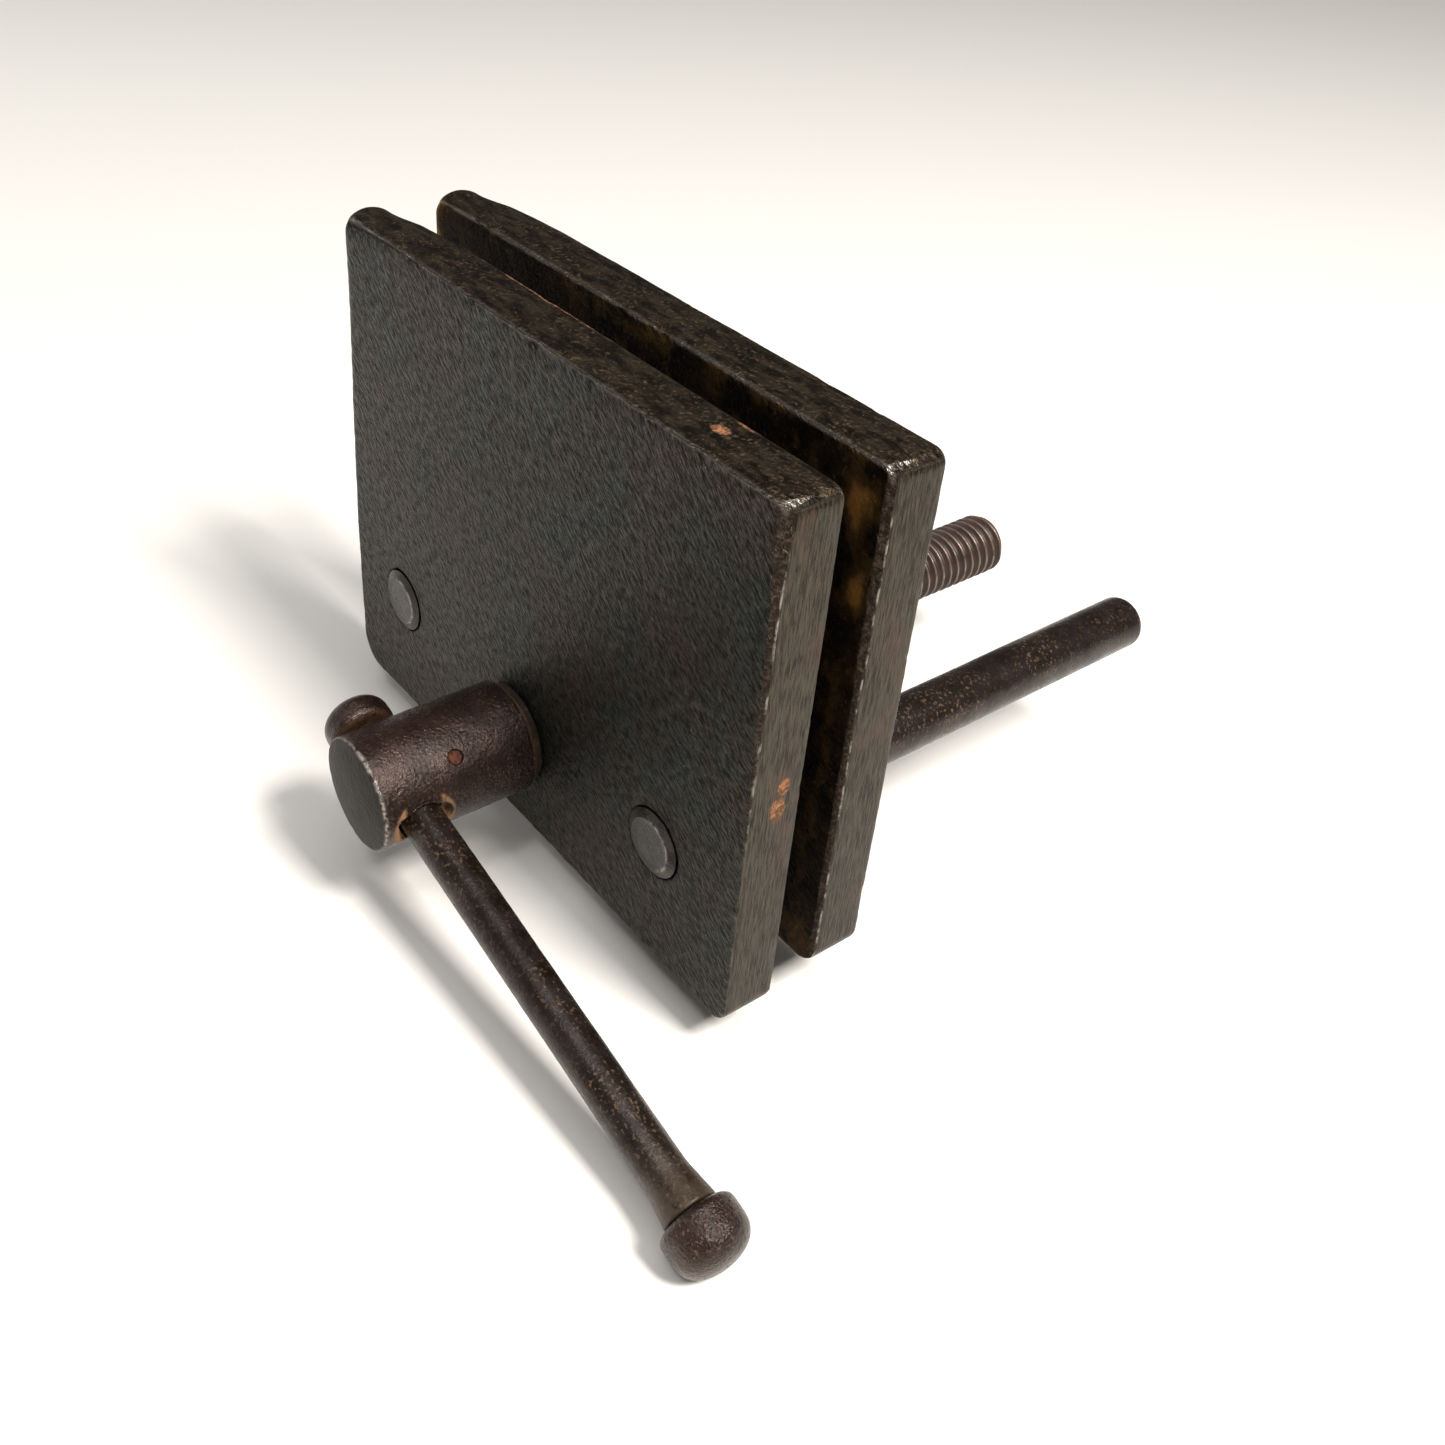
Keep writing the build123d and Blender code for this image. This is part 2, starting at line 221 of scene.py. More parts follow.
def turned_mesh(name, outline, origin, axis, segments, relief=None):
    """Mesh of a turned piece. The outline starts and ends on the axis.

    relief(along, radius, angle, points) gives how far each point stands off the plain surface.
    """
    axis = np.array(axis)
    across = np.cross(axis, (0, 0, 1.0))
    across /= np.linalg.norm(across)
    upward = np.cross(across, axis)
    slope = np.gradient(outline, axis=0)
    outward = np.stack([-slope[:, 1], slope[:, 0]], axis=1)
    outward /= np.maximum(np.linalg.norm(outward, axis=1), 1e-12)[:, None]
    body, facing = outline[1:-1], outward[1:-1]
    angles = np.linspace(0, 2 * math.pi, segments, endpoint=False)
    spokes = np.cos(angles)[:, None] * across + np.sin(angles)[:, None] * upward
    points = (
        np.array(origin)
        + body[:, None, 0:1] * axis
        + body[:, None, 1:2] * spokes[None]
    )
    out = facing[:, None, 0:1] * axis + facing[:, None, 1:2] * spokes[None]
    if relief is not None:
        along = np.broadcast_to(body[:, 0:1], points.shape[:2])
        radius = np.broadcast_to(body[:, 1:2], points.shape[:2])
        angle = np.broadcast_to(angles[None], points.shape[:2])
        height = relief(along.ravel(), radius.ravel(), angle.ravel(), points.reshape(-1, 3))
        points = points + out * height.reshape(points.shape[:2])[..., None]
    ends = [np.array(origin) + outline[k, 0] * axis for k in (0, -1)]
    mesh = closed_tube(name, np.concatenate([points.reshape(-1, 3), ends]), segments)
    mesh.validate()
    mesh.update()
    return mesh


def remeshed_copy(node, voxel, smoothing):
    """Even, dense copy of a CAD node's mesh, with its corners softened."""
    source = frame["nodes"][node].data.copy()
    carrier = bpy.data.objects.new(node + "_dense", source)
    bpy.context.scene.collection.objects.link(carrier)
    remesh = carrier.modifiers.new("even", "REMESH")
    remesh.mode = "VOXEL"
    remesh.voxel_size = voxel
    if smoothing:
        soften = carrier.modifiers.new("soften", "SMOOTH")
        soften.factor = 0.5
        soften.iterations = smoothing
    graph = bpy.context.evaluated_depsgraph_get()
    dense = bpy.data.meshes.new_from_object(carrier.evaluated_get(graph))
    dense.name = node
    bpy.data.objects.remove(carrier)
    bpy.data.meshes.remove(source)
    return dense


# ---------------------------------------------------------------- material shorthand

class Finish:
    """One procedural metal finish: shorthand for adding shader nodes and joining them up."""

    def __init__(self, name):
        self.material = bpy.data.materials.new(name)
        self.material.use_nodes = True
        self.nodes = self.material.node_tree.nodes
        self.links = self.material.node_tree.links
        self.shader = self.nodes["Principled BSDF"]
        self.place = self.nodes.new("ShaderNodeTexCoord").outputs["Object"]

    def join(self, socket, value):
        if isinstance(value, bpy.types.NodeSocket):
            self.links.new(value, socket)
        elif isinstance(value, tuple) and socket.type == "RGBA":
            socket.default_value = (*value, 1)
        else:
            socket.default_value = value

    def value(self, name):
        node = self.nodes.new("ShaderNodeAttribute")
        node.attribute_name = name
        return node.outputs["Fac"]

    def facing(self):
        node = self.nodes.new("ShaderNodeAttribute")
        node.attribute_name = "facing"
        split = self.nodes.new("ShaderNodeSeparateXYZ")
        self.links.new(node.outputs["Vector"], split.inputs[0])
        return split.outputs

    def noise(self, size, stretch=(1, 1, 1), detail=4, seed=0, turn=0):
        """Noise from 0 to 1 with features of the given size in metres.

        stretch lengthens them along X, Y and Z, and turn then tips them about Y, in degrees.
        """
        mapping = self.nodes.new("ShaderNodeMapping")
        mapping.vector_type = "TEXTURE"
        self.links.new(self.place, mapping.inputs["Vector"])
        mapping.inputs["Scale"].default_value = [size * s for s in stretch]
        mapping.inputs["Rotation"].default_value = (0, math.radians(turn), 0)
        mapping.inputs["Location"].default_value = (seed * 0.73, seed * 0.31, seed * 0.57)
        texture = self.nodes.new("ShaderNodeTexNoise")
        self.links.new(mapping.outputs["Vector"], texture.inputs["Vector"])
        texture.inputs["Scale"].default_value = 1
        texture.inputs["Detail"].default_value = detail
        texture.inputs["Roughness"].default_value = 0.6
        return texture.outputs["Fac"]

    def math(self, operation, a, b=0.0):
        node = self.nodes.new("ShaderNodeMath")
        node.operation = operation
        self.join(node.inputs[0], a)
        self.join(node.inputs[1], b)
        return node.outputs[0]

    def band(self, value, low, high):
        """0 below low, 1 above high, smooth between. Falls instead where low is the larger."""
        node = self.nodes.new("ShaderNodeMapRange")
        node.interpolation_type = "SMOOTHSTEP"
        self.join(node.inputs["Value"], value)
        turned_round = low > high
        node.inputs["From Min"].default_value = min(low, high)
        node.inputs["From Max"].default_value = max(low, high)
        node.inputs["To Min"].default_value = 1 if turned_round else 0
        node.inputs["To Max"].default_value = 0 if turned_round else 1
        return node.outputs["Result"]

    def blend(self, factor, a, b):
        """Colour a, going to colour b as factor goes from 0 to 1."""
        node = self.nodes.new("ShaderNodeMix")
        node.data_type = "RGBA"
        self.join(node.inputs[0], factor)
        self.join(node.inputs[6], a)
        self.join(node.inputs[7], b)
        return node.outputs[2]

    def between(self, factor, a, b):
        """Number a, going to number b as factor goes from 0 to 1."""
        node = self.nodes.new("ShaderNodeMix")
        node.data_type = "FLOAT"
        self.join(node.inputs[0], factor)
        self.join(node.inputs[2], a)
        self.join(node.inputs[3], b)
        return node.outputs[0]

    def bump(self, height, depth):
        node = self.nodes.new("ShaderNodeBump")
        node.inputs["Distance"].default_value = depth
        self.join(node.inputs["Height"], height)
        self.links.new(node.outputs["Normal"], self.shader.inputs["Normal"])

    def finish(self, colour, roughness, metallic=None):
        self.join(self.shader.inputs["Base Color"], colour)
        self.join(self.shader.inputs["Roughness"], roughness)
        if metallic is not None:
            self.join(self.shader.inputs["Metallic"], metallic)
        return self.material


# ---------------------------------------------------------------- materials

RUST_BROWN = (0.13, 0.062, 0.028)
BARE_STEEL = (0.42, 0.38, 0.34)
DUST = (0.095, 0.062, 0.032)
PEACH = (0.24, 0.125, 0.058)
GRAIN_TURN = 40  # degrees that the hammered grain tips down to the right


def some(f, share, value):
    """A value from 0 to 1, scaled down to the given share."""
    return f.math("MULTIPLY", value, share)


def face_colour(f, grain, fine, patches, speckle):
    """Charcoal streaks with blue-green and brown patches, a painted sheen low on the left, and pale
    flecks.
    """
    clouds = f.noise(0.026, (1, 1, 1), 4, 4)
    streak = f.band(grain, 0.38, 0.64)
    colour = f.blend(streak, (0.0042, 0.0037, 0.0028), (0.038, 0.034, 0.028))
    greenish = f.blend(streak, (0.0032, 0.0046, 0.0041), (0.030, 0.042, 0.037))
    brownish = f.blend(streak, (0.0060, 0.0035, 0.0023), (0.050, 0.032, 0.022))
    colour = f.blend(some(f, 0.75, f.band(patches, 0.46, 0.60)), colour, greenish)
    colour = f.blend(some(f, 0.8, f.band(clouds, 0.48, 0.62)), colour, brownish)
    colour = f.blend(some(f, 0.75, f.band(fine, 0.53, 0.69)), colour, (0.088, 0.083, 0.071))
    # Painted sheen: the grain streaks lighten over a patch low on the left of the face.
    painted_sheen = f.math("MULTIPLY", f.value("painted_sheen"), f.band(grain, 0.34, 0.62))
    colour = f.blend(some(f, 0.7, painted_sheen), colour, (0.072, 0.062, 0.050))
    return f.blend(some(f, 0.8, f.band(speckle, 0.69, 0.74)), colour, (0.20, 0.16, 0.11))


def top_colour(f, mottle, speckle):
    """Streaky brown with darker patches and ochre specks."""
    grain = f.noise(0.0016, (3, 1, 1), 4, 11)
    colour = f.blend(f.band(grain, 0.36, 0.66), (0.010, 0.0068, 0.0045), (0.062, 0.045, 0.029))
    colour = f.blend(some(f, 0.5, f.band(mottle, 0.5, 0.66)), colour, (0.020, 0.0125, 0.0088))
    where = f.between(f.band(mottle, 0.42, 0.6), 0.15, 0.8)
    specks = f.math("MULTIPLY", f.band(speckle, 0.54, 0.68), where)
    return f.blend(specks, colour, (0.20, 0.135, 0.080))


def side_colour(f, strokes, mottle, patches):
    """Upright grinding strokes with greenish and pinkish patches."""
    colour = f.blend(f.band(strokes, 0.34, 0.66), (0.013, 0.0096, 0.0064), (0.072, 0.057, 0.040))
    colour = f.blend(some(f, 0.4, f.band(mottle, 0.5, 0.64)), colour, (0.054, 0.058, 0.043))
    return f.blend(some(f, 0.45, f.band(patches, 0.54, 0.66)), colour, (0.088, 0.048, 0.034))


def gap_colour(f, mottle, speckle):
    """Painted shade: a near-black base on the faces to the gap, with brown and golden rust stains where
    the plate's rust value is high, and ochre specks.
    """
    colour = f.blend(f.band(mottle, 0.4, 0.7), (0.0040, 0.0020, 0.0009), (0.020, 0.0110, 0.0040))
    flow = f.noise(0.0055, (1, 1, 1.6), 5, 12)
    uneven = f.math("MULTIPLY", f.math("SUBTRACT", flow, 0.52), 3.6)
    stain = f.math("ADD", f.value("rust"), uneven)
    colour = f.blend(some(f, 0.9, f.band(stain, 0.05, 0.55)), colour, (0.050, 0.027, 0.0075))
    golden = f.math("MULTIPLY", f.band(stain, 0.55, 1.5), f.band(f.value("rust"), 0.1, 0.7))
    colour = f.blend(golden, colour, (0.26, 0.125, 0.030))
    return f.blend(some(f, 0.55, f.band(speckle, 0.60, 0.72)), colour, (0.12, 0.062, 0.018))


def jaw_rust(f, hidden):
    """Ragged rust spots, none of them on the face to the gap."""
    spread = f.math("ADD", f.value("rust"), f.noise(0.0026, (1.5, 1, 1), 6, 7))
    rust = f.math("MULTIPLY", f.band(spread, 0.86, 1.12), f.band(f.value("rust"), 0.05, 0.5))
    return f.math("MULTIPLY", rust, f.between(hidden, 1.0, 0.0))


def jaw_wear(f, fine, mottle):
    """Broken bright lines: on the edges, beside the worn strip and on the top right shoulder. The lines
    beside the strip and on the shoulder are partly wear and partly painted highlights on rounded edges.
    """
    frayed = f.math("ADD", f.value("rim"), f.noise(0.0016, (1, 1, 1), 4, 8))
    line = f.math("MULTIPLY", f.band(frayed, 1.10, 0.74), f.value("wear_and_highlight"))
    # Painted highlight, partly wear: a bright line where the worn strip meets the side.
    strip_edge = f.band(f.math("ABSOLUTE", f.value("strip")), 0.34, 0.05)
    strip_edge = f.math("MULTIPLY", strip_edge, f.value("strip_edge_wear_and_highlight"))
    breakup = f.band(f.noise(0.0036, (1, 1, 1), 5, 10), 0.46, 0.60)
    lines = f.math("MULTIPLY", f.math("MAXIMUM", line, strip_edge), breakup)
    # Painted highlight, partly wear: a bright line on the top right shoulder.
    shoulder = f.math("MULTIPLY", f.band(f.value("shoulder"), 0.35, 0.75), f.band(mottle, 0.40, 0.52))
    shoulder = f.math("MULTIPLY", shoulder, f.band(fine, 0.40, 0.56))
    return f.math("MAXIMUM", lines, shoulder)


def jaw_finish():
    """Hammered faces, brown top, ground sides, painted shade on the faces to the gap, and rubbed, partly
    bare edges with painted highlights along them.
    """
    f = Finish("jaw_plate")
    fine = f.noise(0.00036, (4, 1, 1), 2, 1, GRAIN_TURN)
    grain = f.noise(0.00085, (2.6, 1, 1), 3, 2, GRAIN_TURN)
    patches = f.noise(0.014, (1, 1, 1.3), 4, 3)
    speckle = f.noise(0.0009, (1, 1, 1), 3, 5)
    strokes = f.noise(0.00045, (0.8, 0.8, 15), 3, 6, 4)
    mottle = f.noise(0.005, (1.6, 1, 1), 5, 9)
    x, _, z = f.facing()[:3]
    is_top = f.band(z, 0.45, 0.8)
    is_side = f.band(f.math("ABSOLUTE", x), 0.80, 0.93)
    hidden = f.value("inner")
    in_strip = f.band(f.value("strip"), 0.15, -0.2)
    # Rubbed edges: partly real rubbing, partly a painted highlight band along the edges.
    near_rim = f.math("ADD", f.value("rim"), f.math("MULTIPLY", mottle, 1.6))
    rubbed_edge_and_highlight = f.math("MULTIPLY", f.band(near_rim, 2.2, 1.1), f.value("wear_and_highlight"))
    rust = jaw_rust(f, hidden)
    wear_and_highlight = jaw_wear(f, fine, mottle)

    colour = f.blend(is_top, face_colour(f, grain, fine, patches, speckle), top_colour(f, mottle, speckle))
    colour = f.blend(is_side, colour, side_colour(f, strokes, mottle, patches))
    # Painted shade: the faces to the gap take the near-black gap colour.
    colour = f.blend(hidden, colour, gap_colour(f, mottle, speckle))
    strip_colour = f.blend(f.band(speckle, 0.45, 0.65), (0.024, 0.0165, 0.0118), (0.072, 0.053, 0.039))
    colour = f.blend(in_strip, colour, strip_colour)
    colour = f.blend(some(f, 0.85, rubbed_edge_and_highlight), colour, (0.135, 0.115, 0.098))
    rust_colour = f.blend(f.band(speckle, 0.42, 0.62), (0.085, 0.034, 0.012), (0.30, 0.125, 0.045))
    colour = f.blend(rust, colour, rust_colour)
    colour = f.blend(wear_and_highlight, colour, BARE_STEEL)

    rough = f.between(f.band(grain, 0.35, 0.65), 0.52, 0.36)
    for place, roughness in (
        (is_top, 0.5), (is_side, 0.42), (hidden, 0.8), (rubbed_edge_and_highlight, 0.36), (rust, 0.85), (wear_and_highlight, 0.3)
    ):
        rough = f.between(place, rough, roughness)
    relief = f.math("ADD", f.math("MULTIPLY", grain, 1.3), f.math("MULTIPLY", fine, 0.6))
    relief = f.between(is_top, relief, f.math("MULTIPLY", speckle, 0.8))
    relief = f.between(is_side, relief, f.math("MULTIPLY", strokes, 0.35))
    f.bump(relief, 0.00070)
    return f.finish(colour, rough, f.between(rust, 0.92, 0.0))


def bar_finish(name, base, film, speck, speck_start, rust_colour, roughness, pit_depth, shine):
    """Handled dark steel: a brown oxide skin, a paler film in patches, and ochre specks.

    roughness is for the film and for the bare skin. Lower speck_start gives more specks.
    """
    f = Finish(name)
    speckle = f.noise(0.0008, (1, 1, 1), 4, 1)
    patches = f.noise(0.006, (1, 1, 1), 4, 2)
    clouds = f.noise(0.018, (1, 1, 1), 3, 3)
    pits = f.noise(0.0006, (1, 1, 1), 3, 4)
    colour = f.blend(f.band(patches, 0.36, 0.66), base, film)
    where = f.band(clouds, 0.38, 0.62)
    specks = f.band(speckle, speck_start, speck_start + 0.12)
    specks = f.math("MULTIPLY", specks, f.between(where, 0.25, 0.9))
    colour = f.blend(specks, colour, speck)
    rust = f.math("MULTIPLY", f.value("rust"), f.band(f.noise(0.0025, (1, 1, 1), 4, 5), 0.28, 0.46))
    colour = f.blend(rust, colour, rust_colour)
    colour = f.blend(f.value("peened"), colour, (0.021, 0.019, 0.0155))
    # Painted shade: the head's end facing away from the jaws goes near black; below, its roughness rises
    # and its specular level drops to dim its reflection.
    colour = f.blend(f.value("painted_head_end_shade"), colour, (0.0075, 0.0085, 0.0070))
    wear_and_highlight = f.math("MULTIPLY", f.value("wear_and_highlight"), f.band(f.noise(0.0012, (1, 1, 1), 3, 6), 0.36, 0.6))
    colour = f.blend(wear_and_highlight, colour, BARE_STEEL)
    rough = f.between(f.band(patches, 0.3, 0.7), roughness[1], roughness[0])
    rough = f.between(specks, rough, 0.7)
    rough = f.between(rust, rough, 0.85)
    rough = f.between(f.value("painted_head_end_shade"), rough, 0.65)
    f.bump(f.math("ADD", pits, f.math("MULTIPLY", speckle, 0.8)), pit_depth)
    dull = f.math("MAXIMUM", rust, f.math("MULTIPLY", specks, 0.7))
    dull = f.math("MAXIMUM", dull, f.value("painted_head_end_shade"))
    f.join(f.shader.inputs["Specular IOR Level"], f.between(f.value("painted_head_end_shade"), shine, 0.08))
    return f.finish(colour, rough, f.between(dull, 0.5, 0.0))


def thread_finish():
    """Reddish-brown valleys between thin, bright crests."""
    f = Finish("thread")
    patches = f.noise(0.006, (1, 1, 1), 3, 1)
    colour = f.blend(f.band(patches, 0.35, 0.68), (0.018, 0.0080, 0.0052), (0.036, 0.018, 0.012))
    crest = f.math("MULTIPLY", f.value("crest"), f.band(f.noise(0.003, (1, 1, 1), 3, 2), 0.25, 0.5))
    colour = f.blend(crest, colour, (0.26, 0.18, 0.145))
    rust = f.math("MULTIPLY", f.value("rust"), f.band(f.noise(0.002, (1, 1, 1), 3, 3), 0.4, 0.6))
    colour = f.blend(rust, colour, RUST_BROWN)
    rough = f.between(crest, 0.48, 0.3)
    f.bump(f.noise(0.0007, (1, 1, 1), 2, 4), 0.00005)
    return f.finish(colour, rough, f.math("MULTIPLY", crest, 0.7))


def pin_finish():
    """Red-rusted pin ends."""
    f = Finish("pin")
    speckle = f.noise(0.0009, (1, 1, 1), 3, 1)
    colour = f.blend(f.band(speckle, 0.38, 0.6), (0.024, 0.0105, 0.0072), (0.105, 0.032, 0.020))
    f.bump(speckle, 0.0001)
    f.shader.inputs["Specular IOR Level"].default_value = 0.12
    return f.finish(colour, f.between(speckle, 0.55, 0.8))


JAW = jaw_finish()
ROD = bar_finish(
    "rod",
    base=(0.013, 0.0070, 0.0045),
    film=(0.032, 0.023, 0.021),
    speck=(0.105, 0.060, 0.028),
    speck_start=0.54,
    rust_colour=DUST,
    roughness=(0.22, 0.34),
    pit_depth=0.00009,
    shine=0.5,
)
HEAD = bar_finish(
    "forged_head",
    base=(0.016, 0.0064, 0.0040),
    film=(0.036, 0.0180, 0.0130),
    speck=(0.11, 0.060, 0.034),
    speck_start=0.57,
    rust_colour=PEACH,
    roughness=(0.20, 0.32),
    pit_depth=0.00024,
    shine=0.6,
)
THREAD = thread_finish()
PIN = pin_finish()


# ---------------------------------------------------------------- jaw plates

def blob(points, centre, size):
    """1 at a place on a plate, fading to 0 over the given size. Places are (x, y, z) in millimetres."""
    offset = (points - np.array(centre) * MM) / (np.array(size) * MM)
    return np.exp(-(offset**2).sum(axis=1))


CORNER_RADII = {
    "top_left": 5.0 * MM,
    "top_right": 3.0 * MM,
    "bottom_left": 8.0 * MM,
    "bottom_right": 4.5 * MM,
}
PLATE_VOXEL = 0.62 * MM
EDGE_REACH = 1.7 * MM
EDGE_CRISPNESS = 3.4


def outline_depth(points, low, high):
    """How far each point lies inside the plate's outline with its rounded corners."""
    centre, half = (low + high) / 2, (high - low) / 2
    x, z = points[:, 0] - centre[0], points[:, 2] - centre[2]
    radius = np.where(
        x < 0,
        np.where(z > 0, CORNER_RADII["top_left"], CORNER_RADII["bottom_left"]),
        np.where(z > 0, CORNER_RADII["top_right"], CORNER_RADII["bottom_right"]),
    )
    qx, qz = np.abs(x) - half[0] + radius, np.abs(z) - half[2] + radius
    outside = np.hypot(np.maximum(qx, 0), np.maximum(qz, 0))
    return radius - outside - np.minimum(np.maximum(qx, qz), 0)


def outline_inward(points, low, high):
    """Direction from each point to the inside of the plate's outline, along X and Z."""
    nudge = 0.05 * MM
    inward = np.zeros_like(points)
    for axis in (0, 2):
        shift = np.zeros(3)
        shift[axis] = nudge
        ahead = outline_depth(points + shift, low, high)
        behind = outline_depth(points - shift, low, high)
        inward[:, axis] = (ahead - behind) / (2 * nudge)
    return inward


class Plate:
    """Where the points of a jaw plate's mesh lie on it. Left and right are as seen from the handle."""

    def __init__(self, points, low, high):
        from_front, from_back = points[:, 1] - low[1], high[1] - points[:, 1]
        self.points, self.low, self.high = points, low, high
        self.from_front = from_front
        self.from_right = high[0] - points[:, 0]
        self.depth = np.minimum(from_front, from_back)
        self.nearer_front = from_front < from_back
        self.inside = outline_depth(points, low, high)
        self.inward = outline_inward(points, low, high)
        self.ripple = layered_noise(points, 7 * MM, 14)
        self.upper = step(points[:, 2], high[2] - 7 * MM, high[2] - 2 * MM)
        self.toward_handle = step(points[:, 1], high[1] - 4 * MM, low[1] + 4 * MM)
        self.right = step(points[:, 0], high[0] - 5 * MM, high[0] - 1 * MM)


def crisp_edges(points, low, high):
    """Pushes the soft plate edges out to a tighter rounding."""
    plate = Plate(points, low, high)
    a = np.maximum(EDGE_REACH - plate.inside, 0)
    b = np.maximum(EDGE_REACH - plate.depth, 0)
    size = (a**EDGE_CRISPNESS + b**EDGE_CRISPNESS) ** (1 / EDGE_CRISPNESS)
    grow = np.where((a > 0) & (b > 0), EDGE_REACH / np.maximum(size, 0.5 * EDGE_REACH) - 1, 0)
    moved = points - plate.inward * (a * grow)[:, None]
    moved[:, 1] += np.where(plate.nearer_front, -1, 1) * b * grow
    return np.clip(moved, low, high)


def plate_relief(plate, grained):
    """Height of the hammer grain, slow waves and nicked edges over the plain surface."""
    points = plate.points
    tip = math.radians(GRAIN_TURN)
    along = points[:, 0] * math.cos(tip) - points[:, 2] * math.sin(tip)
    across = points[:, 0] * math.sin(tip) + points[:, 2] * math.cos(tip)
    streaked = np.stack([along / 2.4, points[:, 1], across], axis=1)
    grain = 0.65 * smooth_noise(streaked, 1.3 * MM, 11) + 0.35 * smooth_noise(streaked, 2.6 * MM, 12)
    waves = layered_noise(points, 26 * MM, 13)
    height = -0.10 * MM + 0.10 * MM * grain * grained
    height += (0.10 * waves - 0.10) * MM
    near_edge = np.exp(-((np.maximum(plate.inside, 0) ** 2 + plate.depth**2) / (2.4 * MM) ** 2))
    battered = 0.3 + 0.7 * plate.upper * plate.toward_handle
    height += near_edge * battered * (0.24 * plate.ripple - 0.2) * MM
    chips = np.maximum(layered_noise(points, 4.5 * MM, 15) - 0.28, 0)
    height -= near_edge * battered * chips * 1.6 * MM
    return height


def bull_nose(plate):
    """Moves that round the plate over where its top left corner is worn to a nose."""
    points, low, high = plate.points, plate.low, plate.high
    left_share = step(points[:, 0], low[0] + 48 * MM, low[0] + 6 * MM)
    near_top = step(points[:, 2], high[2] - 30 * MM, high[2] - 8 * MM)
    at_left = step(points[:, 0], low[0] + 20 * MM, low[0] + 6 * MM)
    left_reach = 1.0 + 6.2 * step(points[:, 2], low[2] + 30 * MM, high[2] - 4 * MM)
    reach = (at_left * left_reach + (1 - at_left) * 4.4 * left_share * near_top) * MM
    over = np.maximum(reach - plate.inside - plate.depth, 0)
    cut = over**2 / np.maximum(4 * reach, 0.01 * MM)
    move = plate.inward * cut[:, None]
    move[:, 1] = np.where(plate.nearer_front, 1, -1) * cut
    return move


def wear_values(plate, faces, width):
    """Bright wear along the upper edges toward the handle and along the right, with painted highlights
    mixed in on the top right shoulder and at its front corner.
    """
    low, high = plate.low, plate.high
    has_strip = step(width, 0.1 * MM, 0.8 * MM)
    below_top = step(plate.points[:, 2], high[2], high[2] - 3 * MM)
    stripped = has_strip * plate.right * plate.toward_handle * below_top
    wear_and_highlight = (0.15 + 0.75 * plate.upper * plate.toward_handle + 0.35 * plate.right) * (1 - stripped)
    # Painted highlight, partly wear: bright glints on the top right front corner.
    wear_and_highlight += 1.5 * blob(plate.points, (74, low[1] / MM + 1, 60), (3.5, 6, 2.6))
    near_face = np.exp(-((np.maximum(plate.from_front, 0) / (4.5 * MM)) ** 2))
    spread = 0.06 + 0.34 * near_face
    # Painted highlight, partly wear: a thin bright line along the rounded top right shoulder, wider near
    # the front.
    shoulder = np.exp(-(((faces[:, 0] - 0.5) / spread) ** 2)) * step(faces[:, 2], 0.1, 0.4) * plate.right
    # Beside the worn strip: partly wear, partly a painted highlight on the rounded edge to the side.
    beside = step(plate.from_front, plate.from_right, plate.from_right + 0.5 * MM)
    return {
        "strip_edge_wear_and_highlight": 0.8 * beside * has_strip,
        "shoulder": shoulder * (0.7 + 0.5 * near_face),
        "wear_and_highlight": np.clip(wear_and_highlight * (0.9 + 0.5 * plate.ripple), 0, 1),
    }


def wear_plate(node, grain_side, inner_side, strip_width, rust_spots):
    """Dense copy of a jaw plate, worn and hammered, with the values that its finish reads.

    grain_side and inner_side are the Y directions of the hammered face and of the face to the gap.
    strip_width gives the width in metres of the strip worn off the front right edge, from the share
    of the plate's height.
    """
    mesh = remeshed_copy(node, PLATE_VOXEL, 1)
    low, high = (np.array(corner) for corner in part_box(node))
    move_to(mesh, crisp_edges(coordinates(mesh), low, high))
    points, out = coordinates(mesh), normals(mesh)
    plate = Plate(points, low, high)
    grained = step(out[:, 1] * grain_side, 0.5, 0.9)
    moved = points + out * plate_relief(plate, grained)[:, None]

    height_share = (points[:, 2] - low[2]) / (high[2] - low[2])
    width = strip_width(height_share) * (1 + 0.12 * smooth_noise(points, 11 * MM, 16))
    from_edge = plate.from_right + plate.from_front
    moved += (np.maximum(width - from_edge, 0) / 2)[:, None] * np.array((-1, 1, 0))
    strip = np.where(points[:, 1] < (low[1] + high[1]) / 2, (from_edge - width) / MM, 5)
    strip = np.maximum(strip, (np.minimum(plate.inside, plate.depth) - 0.9 * MM) / MM)
    moved += bull_nose(plate)
    move_to(mesh, np.clip(moved, low, high))

    faces = normals(mesh)
    layer = mesh.attributes.new("facing", "FLOAT_VECTOR", "POINT")
    layer.data.foreach_set("vector", faces.ravel().astype(np.float32))
    add_value(mesh, "inner", step(faces[:, 1] * inner_side, 0.25, 0.8))
    add_value(mesh, "strip", strip)
    add_value(mesh, "rim", np.hypot(np.maximum(plate.inside, 0), plate.depth) / MM)
    for name, values in wear_values(plate, faces, width).items():
        add_value(mesh, name, values)
    # Painted sheen: a soft patch low on the left of the hammered face, beside the head.
    beside_head = blob(points, (-40, points[0, 1] / MM, -28), (46, 1000, 34))
    add_value(mesh, "painted_sheen", grained * beside_head)
    rust = np.zeros(len(points))
    for place, size, strength in rust_spots:
        rust = np.maximum(rust, strength * blob(points, place, size))
    add_value(mesh, "rust", np.clip(rust, 0, 1))
    return mesh


def front_strip(height_share):
    return (0.45 + 0.85 * step(height_share, 0.3, 0.85) + 1.3 * step(height_share, 0.84, 0.99)) * MM


def rear_strip(height_share):
    return (1.1 + 0.6 * step(height_share, 0.5, 0.95)) * MM


